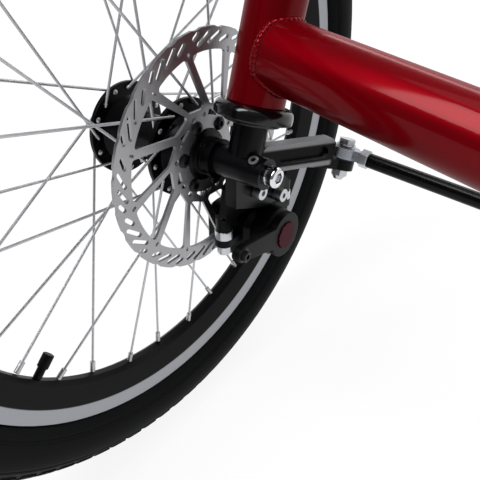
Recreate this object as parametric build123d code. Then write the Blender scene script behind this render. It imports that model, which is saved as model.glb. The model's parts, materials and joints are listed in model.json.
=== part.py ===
from build123d import *
import math
import os

# Front wheel corner of a recumbent trike: boom stub, steering head, knuckle, disc brake, wheel and tie rod.
# Millimetres. Origin at the centre of the boom's inboard end, +X outboard, +Y forwards, +Z up.

# Clearances
PRESS_GAP = 0.05
RUN_FIT = 0.05
JOIN_GAP = 0.1
MOVE_GAP = 0.4

# Cross boom
BOOM_LENGTH = 280.0
BOOM_R = 21.2
BOOM_SOCKET_R = 18.0
BOOM_SOCKET_DEPTH = 45.0
BOOM_BORE_R = 17.0
BOOM_SWEEP_DEG = 7.4
BOOM_RISE_DEG = 6.8
BOOM_END_SHORT = 9.0

# Steering head: heights run up the kingpin axis from axle level
CASTER_DEG = 16.1
KINGPIN_LEAN_DEG = 1.6
JOINT_HEIGHT = 70.5
HEAD_R = 18.2
HEAD_BORE_R = 17.0
HEAD_BOTTOM = 38.6
HEAD_LENGTH = 73.0
CUP_R = 25.0
CUP_HEIGHT = 9.1
CUP_SHOULDER = 4.6
CUP_BEVEL = 0.6
CUP_SKIRT = 10.0
CUP_BORE_GAP = 0.9
STEERER_R = 14.3
STEERER_BORE_R = 12.0
RACE_HEIGHT = 2.4
RACE_LIP = 3.5
COVER_HEIGHT = 4.0
COVER_LIP = 1.0
COLLAR_HEIGHT = 20.0
COLLAR_R = 18.0
COLLAR_LUG = 7.0
COLLAR_SLIT = 1.6
CAP_HEIGHT = 4.0
CAP_BEVEL = 2.5

# Knuckle and axle: places along the axle are measured outboard from the wheel's centre plane
KINGPIN_OFFSET = 72.9
AXLE_LEAD = 3.4
AXLE_R = 6.0
NECK_R = 11.2
NECK_DROP = 4.0
BOSS_R = 10.0
BOSS_INBOARD = -94.0
BOSS_OUTBOARD = -51.0
BOSS_FLANGE_R = 13.0
BOSS_FLANGE = 6.0
SCREW_BOSS_R = 4.4
SCREW_BOSS_PLACE = -87.0
SCREW_BOSS_RISE = 0.8
SCREW_BOSS_TURN_DEG = 28.0
AXLE_HEAD_R = 6.8
AXLE_HEAD = 8.5
AXLE_HEAD_ROUND = 2.0
AXLE_SOCKET_R = 3.8
AXLE_SOCKET_DEPTH = 5.0
TAB_INBOARD = -29.0
TAB_WIDTH = 9.0
# Tab for the brake bracket: its lower corners, forwards and up from the caliper's centre
TAB_CORNERS = ((-14.0, 34.0), (-14.0, 18.0), (10.0, 18.0))
TAB_REACH = 4.0
TAB_TOP_WIDTH = 14.0
TAB_TOP_DROP = 2.0
TAB_FRONT_DROP = 30.0

# Steering arm and tie rod: heights run up the kingpin axis from axle level
ARM_LENGTH = 77.0
ARM_TOE_DEG = 27.6
ARM_START = 10.0
ARM_FOOT = -5.2
ARM_RISE_DEG = 11.7
ARM_HEIGHT = 18.2
ARM_WIDTH = 10.0
ARM_ROUND = 4.5
ARM_ROOT_REACH = 18.0
ARM_RIB = 5.0
ARM_POCKET = 3.7
ARM_EYE_GAP = 2.5
TONGUE = 7.2
TONGUE_R = 8.5
EYE_HEIGHT = 14.2
EYE_R = 10.0
EYE_WIDTH = 7.0
EYE_NECK = 3.0
BALL_R = 6.35
BALL_WIDTH = 9.0
EYE_BOLT_R = 3.0
EYE_NUT_R = 6.0
EYE_NUT = 4.6
EYE_WASHER_R = 6.6
TIE_ROD_LENGTH = 235.0
TIE_ROD_R = 5.0
TIE_ROD_DROP_DEG = 2.1
SHANK_R = 3.0
SHANK_REACH = 30.0
JAM_NUT_R = 6.5
JAM_NUT = 6.0

# Wheel
HUB_OUTBOARD = 36.0
HUB_NECK_R = 13.0
HUB_BODY_R = 20.0
HUB_BARREL_R = 15.0
HUB_END_R = 17.0
HUB_CAP_R = 15.0
HUB_CAP_HEIGHT = 6.0
FLANGE_OUT = 29.6
FLANGE_IN = -25.7
FLANGE_R = 33.5
FLANGE_ROOT_R = 24.0
FLANGE_WIDTH = 3.4
FLANGE_SLOPE = 10.0
SPOKE_HOLE_INSET = 3.5
SPOKES = 32
SPOKE_R = 1.0
SPOKE_PHASE_DEG = 16.5
SPOKE_LEAD_DEG = 45.0
SPOKE_LAY = 1.3
NIPPLE_R = 2.1
NIPPLE_LENGTH = 8.5
NIPPLE_SPLAY = 1.5
RIM_EDGE_R = 211.0
RIM_HALF = 14.0
RIM_DEPTH = 27.5
RIM_RIDGE = 2.6
RIM_WALL = 2.4
RIM_WELL_DEPTH = 12.0
TRACK_HEIGHT = 10.5
TRACK_HALF = 11.4
TYRE_HALF = 24.2
TYRE_LIP = 1.5
TYRE_WALL = 3.5
BEAD_GAP = 0.35
VALVE_R = 4.0
VALVE_LENGTH = 18.0
VALVE_CAP = 10.0

# Brake rotor: degrees run from one of its lobes, radii from its centre, insets from its edge
ROTOR_PLACE = -44.2
ROTOR_R = 80.0
ROTOR_TRACK = 13.5
ROTOR_WIDTH = 2.0
ROTOR_SEAT_R = 25.0
ROTOR_BORE_R = 17.5
ROTOR_LOBES = 6
ROTOR_PHASE_DEG = 68.0
ROTOR_SLOT_WIDTH = 2.8
ROTOR_SLOT_LEAN_DEG = 60.0
# Slots: degrees, inset of the middle, length
ROTOR_SLOTS = (
    (7.0, 6.7, 9.0), (-0.5, 6.4, 13.0), (-8.0, 6.4, 13.0), (-13.5, 4.7, 8.0),
    (-22.4, 7.0, 9.7), (-29.6, 6.4, 14.2), (-37.3, 6.4, 14.7), (-42.7, 3.9, 7.2))
ROTOR_JOINT_WIDTH = 2.0
# Holes where the legs join the track: degrees, inset of the middle, length, lean from radial
ROTOR_JOINTS = ((-17.7, 12.8, 3.9, -27.0), (-49.2, 12.5, 3.5, 8.0))
# Wide openings: corner by each leg, as radius and degrees, then where each leg meets the track
ROTOR_WIDE_GAPS = (((33.0, -6.0), (34.0, -29.8), -20.3, -47.0), ((34.6, -61.9), (31.5, -37.2), -75.2, -51.4))
# Small openings by the seat: three corners, each radius and degrees
ROTOR_SMALL_GAPS = (
    ((26.2, -8.0), (30.6, -29.5), (26.4, -33.0)),
    ((26.0, -37.0), (29.6, -37.5), (26.2, -51.5)),
)
ROTOR_GAP_ROUND = 2.2
ROTOR_SMALL_ROUND = 0.7
# Round holes in a lobe: distance from the centre, hole radius
ROTOR_LOBE_HOLES = ((28.2, 1.9), (22.0, 2.6))
ROTOR_NOTCH_PITCH_DEG = 15.0
ROTOR_NOTCH_LEAD_DEG = -11.9
ROTOR_NOTCH_DEG = 6.0
ROTOR_NOTCH = 0.9

# Brake caliper: places are forwards and up from its own centre, and outboard from the rotor's plane
CALIPER_INSET = 6.2
CALIPER_TURN_DEG = 57.2
CALIPER_REAR = 30.0
CALIPER_FRONT = 26.0
CALIPER_TOP = 14.0
CALIPER_UNDER = 26.0
CALIPER_INBOARD = 25.0
CALIPER_OUTBOARD = 14.0
CALIPER_CORNER = 10.0
CALIPER_BEVEL = 3.5
CALIPER_SLOT = 8.0
SLOT_CLEARANCE = 3.0
CALIPER_BOLT_SPREAD = 37.0
CALIPER_BOLT_PLACE = -12.8
EAR_R = 6.5
EAR_WIDTH = 5.5
FOOT_R = 5.8
FOOT_LOW = 7.0
FOOT_HIGH = 17.0
BAR_LOW = 15.6
BAR_HIGH = 24.6
PLATE_INBOARD = 7.0
PLATE_WIDTH = 6.0
# Bracket plate: forwards and up from the caliper's centre
PLATE_OUTLINE = ((-14.0, 17.0), (44.0, 17.0), (40.0, 42.0), (28.0, 48.0), (14.0, 44.0), (-14.0, 33.0))
PLATE_ROUND = 5.0
PLATE_BOSS_GAP = 0.5
BOLT_R = 3.0
BOLT_HEAD_R = 5.0
BOLT_HEAD = 7.0
WASHER_R = 6.5
# Bracket bolts: forwards and up from the caliper's centre
BRACKET_BOLTS = ((23.0, 37.0), (-3.0, 24.0))
PAD_HALF = 14.0
PAD_TOP = 13.0
PAD_UNDER = 8.0
HOUSING_R = 18.0
HOUSING_FORWARD = 3.6
HOUSING_DOWN = 2.8
HOUSING_FACE = -38.0
HOUSING_BEVEL = 2.5
KNOB_R = 10.0
KNOB_HEIGHT = 6.4
KNOB_NOTCHES = 10
KNOB_NOTCH_R = 1.2
LEVER_LENGTH = 53.0
LEVER_RISE_DEG = 11.5
LEVER_WIDTH = 5.4
LEVER_ROOT_HALF = 9.0
LEVER_END_R = 5.5


def across(direction, normal):
    """The part of a direction that is square to a normal."""
    return (direction - normal * direction.dot(normal)).normalized()


def tangent(degrees):
    return math.tan(math.radians(degrees))


def polar(radius, degrees, height=0.0):
    """Point at a radius and an angle, at a height above the plane."""
    turn = math.radians(degrees)
    return Vector(radius * math.cos(turn), radius * math.sin(turn), height)


boom_axis = Vector(1, -tangent(BOOM_SWEEP_DEG), tangent(BOOM_RISE_DEG)).normalized()
kingpin_axis = Vector(-tangent(KINGPIN_LEAN_DEG), -tangent(CASTER_DEG), 1).normalized()
king_foot = boom_axis * BOOM_LENGTH - kingpin_axis * JOINT_HEIGHT
wheel_centre = king_foot + Vector(KINGPIN_OFFSET, AXLE_LEAD, 0)
caliper_spot = polar(ROTOR_R - CALIPER_INSET, CALIPER_TURN_DEG)
caliper_back = caliper_spot.X
caliper_drop = caliper_spot.Y
caliper_centre = wheel_centre + Vector(ROTOR_PLACE, -caliper_back, -caliper_drop)

BOOM = Plane(Vector(0, 0, 0), across(Vector(0, 0, 1), boom_axis), boom_axis).location
HEAD = Plane(king_foot, across(Vector(1, 0, 0), kingpin_axis), kingpin_axis).location
WHEEL = Plane(wheel_centre, Vector(0, 1, 0), Vector(1, 0, 0)).location
CALIPER = Plane(caliper_centre, Vector(0, 1, 0), Vector(1, 0, 0)).location
HOUSING = CALIPER * Pos(HOUSING_FORWARD, -HOUSING_DOWN, 0)
ARM = HEAD * Rot(0, 0, -90 - ARM_TOE_DEG)
EYE = ARM * Pos(ARM_LENGTH, 0, EYE_HEIGHT) * Rot(0, 0, 90 + ARM_TOE_DEG)
TIE_OUTER = EYE * Rot(0, 0, 180) * Rot(0, TIE_ROD_DROP_DEG, 0)
TIE_INNER = TIE_OUTER * Pos(TIE_ROD_LENGTH, 0, 0) * Rot(0, 0, 180)

LOW = (Align.CENTER, Align.CENTER, Align.MIN)


def outline_face(points):
    return make_face(Polyline(*points, close=True))


def turned(outline):
    """Solid of revolution about Z from (radius, height) points."""
    return revolve(Plane.XZ * outline_face(outline), Axis.Z)


def rod(radius, low, high):
    return Pos(0, 0, low) * Cylinder(radius, high - low, align=LOW)


def tube(outer, inner, low, high):
    return rod(outer, low, high) - rod(inner, low - 1, high + 1)


def prism(radius, low, high, sides=20):
    """Straight bar of equal flats, as small round hardware or a nut."""
    return Pos(0, 0, low) * extrude(RegularPolygon(radius, sides), high - low)


def block(x_range, y_range, z_range):
    """Box from its ranges along X, Y and Z."""
    sizes = [high - low for low, high in (x_range, y_range, z_range)]
    middle = [(high + low) / 2 for low, high in (x_range, y_range, z_range)]
    return Pos(*middle) * Box(*sizes)


def strut(start, end, radius, sides=8):
    """Bar of equal flats between two points."""
    run = end - start
    return Plane(start, z_dir=run).location * prism(radius, 0, run.length, sides)


def eased(corners, radius, flats=3):
    """Outline with its sharp corners rounded off in short flats."""
    points = []
    for index, corner in enumerate(corners):
        before = (corners[index - 1] - corner).normalized()
        after = (corners[(index + 1) % len(corners)] - corner).normalized()
        half = before.get_angle(after) / 2
        if half > 80:
            points.append(corner)
            continue
        reach = radius / tangent(half)
        middle = corner + (before + after).normalized() * (radius / math.sin(math.radians(half)))
        start = corner + before * reach - middle
        end = corner + after * reach - middle
        for step in range(flats + 1):
            share = step / flats
            points.append(middle + (start * (1 - share) + end * share).normalized() * radius)
    return points


def flat(points):
    """Plane points as vectors, from pairs."""
    return [Vector(*point) for point in points]


# Frame body
def cross_boom():
    outside = rod(BOOM_R, 0, BOOM_LENGTH - BOOM_END_SHORT)
    socket = rod(BOOM_SOCKET_R, -1, BOOM_SOCKET_DEPTH)
    bore = rod(BOOM_BORE_R, 0, BOOM_LENGTH)
    head_seat = HEAD * rod(HEAD_R + PRESS_GAP, 0, 2 * JOINT_HEIGHT)
    return BOOM * (outside - socket - bore) - head_seat


def head_tube():
    return HEAD * tube(HEAD_R, HEAD_BORE_R, HEAD_BOTTOM, HEAD_BOTTOM + HEAD_LENGTH)


def headset_cup():
    """Cup about its own seat at height 0, opening upwards, with its skirt below."""
    inner = STEERER_R + CUP_BORE_GAP
    skirt = HEAD_BORE_R - PRESS_GAP
    rounds = [
        (CUP_R - CUP_SHOULDER * (1 - math.sin(turn)), PRESS_GAP + CUP_SHOULDER * (1 - math.cos(turn)))
        for turn in (0.0, math.pi / 6, math.pi / 3, math.pi / 2)]
    return turned([
        (inner, -CUP_SKIRT), (skirt, -CUP_SKIRT), (skirt, PRESS_GAP), *rounds,
        (CUP_R, CUP_HEIGHT - CUP_BEVEL), (CUP_R - CUP_BEVEL, CUP_HEIGHT), (inner, CUP_HEIGHT)])


def lower_cup():
    return HEAD * Pos(0, 0, HEAD_BOTTOM) * Rot(180, 0, 0) * headset_cup()


def upper_cup():
    return HEAD * Pos(0, 0, HEAD_BOTTOM + HEAD_LENGTH) * headset_cup()


# Knuckle body
race_top = HEAD_BOTTOM - CUP_HEIGHT - MOVE_GAP
race_bottom = race_top - RACE_HEIGHT
cover_bottom = HEAD_BOTTOM + HEAD_LENGTH + CUP_HEIGHT + MOVE_GAP
collar_bottom = cover_bottom + COVER_HEIGHT + JOIN_GAP
collar_top = collar_bottom + COLLAR_HEIGHT
neck_top = race_bottom - JOIN_GAP


def kingpin():
    return HEAD * tube(STEERER_R, STEERER_BORE_R, neck_top + JOIN_GAP, collar_top)


def crown_race():
    return HEAD * tube(STEERER_R + RACE_LIP, STEERER_R + PRESS_GAP, race_bottom, race_top)


def bearing_cover():
    inner = STEERER_R + PRESS_GAP
    edge = CUP_R - COVER_LIP
    return HEAD * Pos(0, 0, cover_bottom) * turned([
        (inner, 0), (edge, 0), (edge, COVER_LIP), (COLLAR_R, COVER_HEIGHT), (inner, COVER_HEIGHT)])


def clamp_collar():
    inner = STEERER_R + PRESS_GAP
    ring = tube(COLLAR_R, inner, collar_bottom, collar_top)
    lug = block((-COLLAR_R - COLLAR_LUG, -inner), (-COLLAR_LUG, COLLAR_LUG),
                (collar_bottom + 1, collar_top - 1))
    slit = block((-COLLAR_R - COLLAR_LUG - 1, -STEERER_BORE_R), (-COLLAR_SLIT / 2, COLLAR_SLIT / 2),
                 (collar_bottom - 1, collar_top + 1))
    return HEAD * (ring + (lug - rod(COLLAR_R - 1, collar_bottom, collar_top)) - slit)


def top_cap():
    base = collar_top + JOIN_GAP
    edge = COLLAR_R - CUP_BEVEL
    return HEAD * turned([
        (0, base), (edge, base), (edge, base + CAP_HEIGHT / 2), (edge - CAP_BEVEL, base + CAP_HEIGHT),
        (0, base + CAP_HEIGHT)])


def knuckle():
    neck = HEAD * turned([
        (0, -NECK_DROP), (BOSS_R, -NECK_DROP), (NECK_R, NECK_DROP), (NECK_R, neck_top), (0, neck_top)])
    boss = WHEEL * (rod(BOSS_R, BOSS_INBOARD, BOSS_OUTBOARD)
                    + rod(BOSS_FLANGE_R, BOSS_OUTBOARD - BOSS_FLANGE, BOSS_OUTBOARD))
    front = caliper_back + TAB_REACH
    top = caliper_drop - TAB_TOP_DROP
    low = caliper_drop - TAB_FRONT_DROP
    corners = [(front, top), (front - TAB_TOP_WIDTH, top), *TAB_CORNERS, (front, low)]
    tab = CALIPER * Pos(0, 0, TAB_INBOARD) * extrude(outline_face(corners), TAB_WIDTH)
    screw_boss = WHEEL * Pos(0, 0, SCREW_BOSS_PLACE) * Rot(0, 0, -SCREW_BOSS_TURN_DEG) * vertical(
        prism(SCREW_BOSS_R, 0, BOSS_R + SCREW_BOSS_RISE))
    body = neck + boss + tab + screw_boss
    for forward, up in BRACKET_BOLTS:
        body -= CALIPER * Pos(forward, up, 0) * prism(BOLT_R + PRESS_GAP, TAB_INBOARD - 1, 0)
    return body - WHEEL * rod(AXLE_R + PRESS_GAP, BOSS_INBOARD - 1, BOSS_OUTBOARD + 1)


def axle():
    face = BOSS_INBOARD - JOIN_GAP
    end = face - AXLE_HEAD
    tip = HUB_OUTBOARD - 2 * JOIN_GAP
    corner = 0.3 * AXLE_HEAD_ROUND
    body = turned([
        (0, end), (AXLE_HEAD_R - AXLE_HEAD_ROUND, end), (AXLE_HEAD_R - corner, end + corner),
        (AXLE_HEAD_R, end + AXLE_HEAD_ROUND), (AXLE_HEAD_R, face), (AXLE_R, face), (AXLE_R, tip), (0, tip)])
    return WHEEL * (body - prism(AXLE_SOCKET_R, end - 1, end + AXLE_SOCKET_DEPTH, 6))


tongue_top = EYE_HEIGHT - BALL_WIDTH / 2 - JOIN_GAP
tongue_low = tongue_top - TONGUE
arm_end = ARM_LENGTH - EYE_R - ARM_EYE_GAP


def arm_low(reach):
    """Underside of the inclined arm at a distance from the kingpin."""
    return ARM_FOOT + (reach - ARM_START) * tangent(ARM_RISE_DEG)


def arm_side(start, end, rib=0.0):
    """Corners of the arm's side view between two distances, drawn in by a rib."""
    return flat([
        (start, arm_low(start) + rib), (end, arm_low(end) + rib),
        (end, arm_low(end) + ARM_HEIGHT - rib), (start, arm_low(start) + ARM_HEIGHT - rib)])


def upright(points, width):
    """Side view extruded to both sides of the arm's middle."""
    return extrude(Plane.XZ * outline_face(points), width / 2, both=True)


def steering_arm():
    body = upright(eased(arm_side(ARM_START, arm_end), ARM_ROUND), ARM_WIDTH)
    body += block((ARM_LENGTH / 2, ARM_LENGTH), (-ARM_WIDTH / 2, ARM_WIDTH / 2), (tongue_low, tongue_top))
    body += Pos(ARM_LENGTH, 0, 0) * rod(TONGUE_R, tongue_low, tongue_top)
    pocket = outline_face(eased(arm_side(ARM_ROOT_REACH + ARM_RIB, arm_end - ARM_RIB, ARM_RIB), ARM_POCKET))
    for side in (-1, 1):
        body -= Pos(0, side * ARM_WIDTH / 2, 0) * extrude(Plane.XZ * pocket, ARM_POCKET, both=True)
    body -= Pos(ARM_LENGTH, 0, 0) * prism(EYE_BOLT_R + PRESS_GAP, tongue_low - 1, tongue_top + 1)
    neck_seat = HEAD * rod(NECK_R + PRESS_GAP, -BOSS_R * 4, neck_top * 3)
    return ARM * body - neck_seat - WHEEL * rod(BOSS_R + PRESS_GAP, BOSS_INBOARD, BOSS_OUTBOARD)


def arm_bolt():
    ball_half = BALL_WIDTH / 2 + JOIN_GAP
    low = -ball_half - TONGUE - JOIN_GAP
    shaft = prism(EYE_BOLT_R - PRESS_GAP, low - EYE_NUT, ball_half + 1)
    head = prism(EYE_NUT_R, ball_half, ball_half + EYE_NUT, 6) + prism(EYE_WASHER_R, ball_half, ball_half + 1)
    nut = prism(EYE_NUT_R, low - EYE_NUT, low, 6)
    dome = Pos(0, 0, low - EYE_NUT) * turned([
        (0, 1), (EYE_NUT_R - 1, 1), (EYE_NUT_R - 1, 0), (EYE_BOLT_R, -EYE_BOLT_R), (0, -EYE_BOLT_R)])
    return EYE * (shaft + head + nut + dome)


def ball_band(radius, half, flats=6):
    """Points round the bulge of a ball, between two levels."""
    reach = math.asin(half / radius)
    turns = [reach * (2 * step / flats - 1) for step in range(flats + 1)]
    return [(radius * math.cos(turn), radius * math.sin(turn)) for turn in turns]


def rod_end_ball():
    band = ball_band(BALL_R, BALL_WIDTH / 2)
    return turned([(EYE_BOLT_R, -BALL_WIDTH / 2), *band, (EYE_BOLT_R, BALL_WIDTH / 2)])


def rod_end(place, ball_place):
    """Eye about Z with its threaded shank along +X, bored for a ball."""
    half = EYE_WIDTH / 2
    eye = prism(EYE_R, -half, half, 32)
    shank = Plane((EYE_R - SHANK_R, 0, 0), (0, 1, 0), (1, 0, 0)).location * prism(SHANK_R, 0, SHANK_REACH)
    neck = block((EYE_R - SHANK_R, EYE_R + EYE_NECK), (-SHANK_R - 1, SHANK_R + 1), (-half, half))
    band = ball_band(BALL_R + RUN_FIT, BALL_WIDTH / 2)
    socket = turned([(0, -BALL_WIDTH / 2), *band, (0, BALL_WIDTH / 2)])
    return place * (eye + neck + shank) - ball_place * socket


nut_start = EYE_R + EYE_NECK + JOIN_GAP
rod_start = nut_start + JAM_NUT + JOIN_GAP
shank_end = EYE_R - SHANK_R + SHANK_REACH


def along_x(shape):
    return Rot(0, 90, 0) * shape


def tie_rod():
    body = rod(TIE_ROD_R, rod_start, TIE_ROD_LENGTH - rod_start)
    hole = prism(SHANK_R + PRESS_GAP, rod_start - 1, shank_end + 1)
    body -= hole
    body -= Pos(0, 0, TIE_ROD_LENGTH) * Rot(180, 0, 0) * hole
    return TIE_OUTER * along_x(body)


def jam_nuts():
    nut = along_x(prism(JAM_NUT_R, nut_start, nut_start + JAM_NUT, 6)
                  - prism(SHANK_R + PRESS_GAP, nut_start - 1, nut_start + JAM_NUT + 1))
    return Compound(children=[TIE_OUTER * nut, TIE_INNER * nut])


# Brake, in the caliper's own directions: forwards, up, outboard
def vertical(shape):
    """A shape about Z, turned to stand along the caliper's up direction."""
    return Rot(-90, 0, 0) * shape


def at_caliper_bolts(shape):
    """Two copies of an upright shape, one on each caliper bolt."""
    spots = [Pos(side * CALIPER_BOLT_SPREAD, 0, CALIPER_BOLT_PLACE) for side in (-1, 1)]
    return [spot * vertical(shape) for spot in spots]


def caliper_bracket():
    place = CALIPER_BOLT_PLACE
    end = CALIPER_BOLT_SPREAD
    step = end - BAR_HIGH + FOOT_HIGH
    half = [(step, BAR_LOW), (end, FOOT_LOW), (end, FOOT_HIGH), (step, BAR_HIGH)]
    arch = half + [(-forward, up) for forward, up in reversed(half)]
    body = Pos(0, 0, place - FOOT_R) * extrude(outline_face(arch), 2 * FOOT_R)
    plate = outline_face(eased(flat(PLATE_OUTLINE), PLATE_ROUND))
    body += Pos(0, 0, place - PLATE_INBOARD) * extrude(plate, PLATE_WIDTH)
    for foot in at_caliper_bolts(prism(FOOT_R, FOOT_LOW, FOOT_HIGH, 28)):
        body += foot
    for hole in at_caliper_bolts(prism(BOLT_R + PRESS_GAP, FOOT_LOW - 1, BAR_HIGH + 1)):
        body -= hole
    for forward, up in BRACKET_BOLTS:
        body -= Pos(forward, up, 0) * prism(BOLT_R + PRESS_GAP, TAB_INBOARD, 0)
    # The plate is relieved where it comes near the axle boss
    body -= Pos(caliper_back, caliper_drop, 0) * rod(BOSS_R + PLATE_BOSS_GAP, TAB_INBOARD, 0)
    return CALIPER * body


def bracket_bolts():
    bolts = []
    for forward, up in BRACKET_BOLTS:
        shaft = prism(BOLT_R - PRESS_GAP, TAB_INBOARD - 2, CALIPER_BOLT_PLACE)
        head = prism(BOLT_HEAD_R, TAB_INBOARD - BOLT_HEAD, TAB_INBOARD - JOIN_GAP)
        bolts.append(CALIPER * Pos(forward, up, 0) * (shaft + head))
    return Compound(children=bolts)


def caliper_body():
    main = block((-CALIPER_REAR, CALIPER_FRONT), (-CALIPER_UNDER, CALIPER_TOP),
                 (-CALIPER_INBOARD, CALIPER_OUTBOARD))
    main = fillet(main.edges().filter_by(Axis.Z), CALIPER_CORNER)
    ends = main.faces().filter_by(Axis.Z)
    main = chamfer(ends.edges(), CALIPER_BEVEL)
    root = -CALIPER_INBOARD / 2
    housing = turned([
        (0, root), (HOUSING_R, root), (HOUSING_R, HOUSING_FACE + HOUSING_BEVEL),
        (HOUSING_R - HOUSING_BEVEL, HOUSING_FACE), (0, HOUSING_FACE)])
    body = main + Pos(HOUSING_FORWARD, -HOUSING_DOWN, 0) * housing
    for side in (-1, 1):
        reach = sorted((side * CALIPER_FRONT / 2, side * CALIPER_BOLT_SPREAD))
        body += block(reach, (-EAR_WIDTH, 0), (CALIPER_BOLT_PLACE - EAR_R, CALIPER_BOLT_PLACE + EAR_R))
    for ear in at_caliper_bolts(prism(EAR_R, -EAR_WIDTH, 0, 28)):
        body += ear
    for hole in at_caliper_bolts(prism(BOLT_R + PRESS_GAP, -EAR_WIDTH - 1, 1)):
        body -= hole
    slot = rod(ROTOR_R + SLOT_CLEARANCE, -CALIPER_SLOT / 2, CALIPER_SLOT / 2)
    return CALIPER * (body - Pos(caliper_back, caliper_drop, 0) * slot)


def caliper_bolts():
    head_top = -EAR_WIDTH - JOIN_GAP
    shaft = prism(BOLT_R - PRESS_GAP, head_top - 2, FOOT_HIGH - 1)
    head = prism(BOLT_HEAD_R, head_top - BOLT_HEAD, head_top)
    return Compound(children=[CALIPER * copy for copy in at_caliper_bolts(shaft + head)])


def caliper_washers():
    low = JOIN_GAP
    high = FOOT_LOW - JOIN_GAP
    washer = prism(WASHER_R, low, high, 28) - prism(BOLT_R + PRESS_GAP, low - 1, high + 1)
    return Compound(children=[CALIPER * copy for copy in at_caliper_bolts(washer)])


def brake_pads():
    low = ROTOR_WIDTH / 2 + MOVE_GAP
    high = CALIPER_SLOT / 2 - JOIN_GAP
    sweep = rod(ROTOR_R + SLOT_CLEARANCE - 1, -CALIPER_SLOT, CALIPER_SLOT)
    sweep = Pos(caliper_back, caliper_drop, 0) * sweep
    pads = []
    for side in (-1, 1):
        pad = block((-PAD_HALF, PAD_HALF), (-PAD_UNDER, PAD_TOP), sorted((side * low, side * high)))
        pads.append(CALIPER * (pad & sweep))
    return Compound(children=pads)


knob_face = HOUSING_FACE - JOIN_GAP


def pad_knob():
    body = prism(KNOB_R, knob_face - KNOB_HEIGHT, knob_face, 40)
    for notch in range(KNOB_NOTCHES):
        spot = polar(KNOB_R + KNOB_NOTCH_R / 2, notch * 360 / KNOB_NOTCHES)
        body -= Pos(*spot) * prism(KNOB_NOTCH_R, knob_face - KNOB_HEIGHT - 1, knob_face - KNOB_HEIGHT / 3)
    return HOUSING * body


def caliper_lever():
    low = knob_face - LEVER_WIDTH
    corners = flat([
        (0, -LEVER_ROOT_HALF), (LEVER_LENGTH, -LEVER_END_R), (LEVER_LENGTH, LEVER_END_R),
        (0, LEVER_ROOT_HALF)])
    arm = Pos(0, 0, low) * extrude(outline_face(corners), LEVER_WIDTH)
    tip = Pos(LEVER_LENGTH, 0, 0) * prism(LEVER_END_R, low, knob_face, 28)
    body = rod(HOUSING_R - 1, low, knob_face) + Rot(0, 0, LEVER_RISE_DEG) * (arm + tip)
    return HOUSING * (body - rod(KNOB_R + JOIN_GAP, low - 1, knob_face + 1))


# Wheel body, in the wheel's own directions: forwards, up, outboard
def hub_shell():
    bore = AXLE_R + RUN_FIT
    inboard = BOSS_OUTBOARD + MOVE_GAP
    disc_face = ROTOR_PLACE + ROTOR_WIDTH / 2 + JOIN_GAP
    register = ROTOR_BORE_R - JOIN_GAP
    half = FLANGE_WIDTH / 2
    return WHEEL * turned([
        (bore, inboard), (HUB_NECK_R, inboard), (HUB_NECK_R, disc_face - 2 * ROTOR_WIDTH),
        (register, disc_face - 1.5 * ROTOR_WIDTH), (register, disc_face), (ROTOR_SEAT_R, disc_face),
        (ROTOR_SEAT_R, disc_face + FLANGE_WIDTH), (HUB_BODY_R, disc_face + FLANGE_SLOPE / 2),
        (FLANGE_ROOT_R, FLANGE_IN - half), (FLANGE_R, FLANGE_IN - half),
        (FLANGE_R, FLANGE_IN + half), (FLANGE_ROOT_R, FLANGE_IN + half),
        (HUB_BARREL_R, FLANGE_IN + FLANGE_SLOPE), (HUB_BARREL_R, FLANGE_OUT - FLANGE_SLOPE),
        (FLANGE_ROOT_R, FLANGE_OUT - half), (FLANGE_R, FLANGE_OUT - half),
        (FLANGE_R, FLANGE_OUT + half), (FLANGE_ROOT_R, FLANGE_OUT + half),
        (HUB_END_R, HUB_OUTBOARD), (bore, HUB_OUTBOARD)])


def hub_cap():
    base = HUB_OUTBOARD + JOIN_GAP
    top = base + HUB_CAP_HEIGHT
    return WHEEL * turned([
        (0, base), (HUB_CAP_R, base), (HUB_CAP_R, base + 0.4 * HUB_CAP_HEIGHT), (0.67 * HUB_CAP_R, top),
        (0, top)])


def round_points(centre, radius, sides=10):
    return [centre + polar(radius, 360 * step / sides) for step in range(sides)]


def slot_points(centre, length, width, turn):
    """Round-ended slot about a point, its length turned from X."""
    reach = (length - width) / 2
    points = []
    for end in (0, 180):
        tip = centre + polar(reach, turn + end)
        points += [tip + polar(width / 2, turn + end + bend) for bend in (-90, -30, 30, 90)]
    return points


rotor_inner = ROTOR_R - ROTOR_TRACK


def wide_gap(near, far, near_edge, far_edge, flats=6):
    """Opening between two legs, closed by the inner edge of the braking track."""
    span = far_edge - near_edge
    arc = [polar(rotor_inner, near_edge + span * step / flats) for step in range(flats + 1)]
    return eased([polar(*near), *arc, polar(*far)], ROTOR_GAP_ROUND)


def rotor_gaps():
    """Every opening in the rotor between two neighbouring lobes, as outlines at a lobe on X."""
    gaps = [wide_gap(*gap) for gap in ROTOR_WIDE_GAPS]
    for corners in ROTOR_SMALL_GAPS:
        gaps.append(eased([polar(*corner) for corner in corners], ROTOR_SMALL_ROUND, 2))
    for angle, inset, length in ROTOR_SLOTS:
        spot = polar(ROTOR_R - inset, angle)
        gaps.append(slot_points(spot, length, ROTOR_SLOT_WIDTH, angle + ROTOR_SLOT_LEAN_DEG))
    for angle, inset, length, lean in ROTOR_JOINTS:
        gaps.append(slot_points(polar(ROTOR_R - inset, angle), length, ROTOR_JOINT_WIDTH, angle + lean))
    for radius, hole in ROTOR_LOBE_HOLES:
        gaps.append(round_points(polar(radius, 0), hole))
    return gaps


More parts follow.
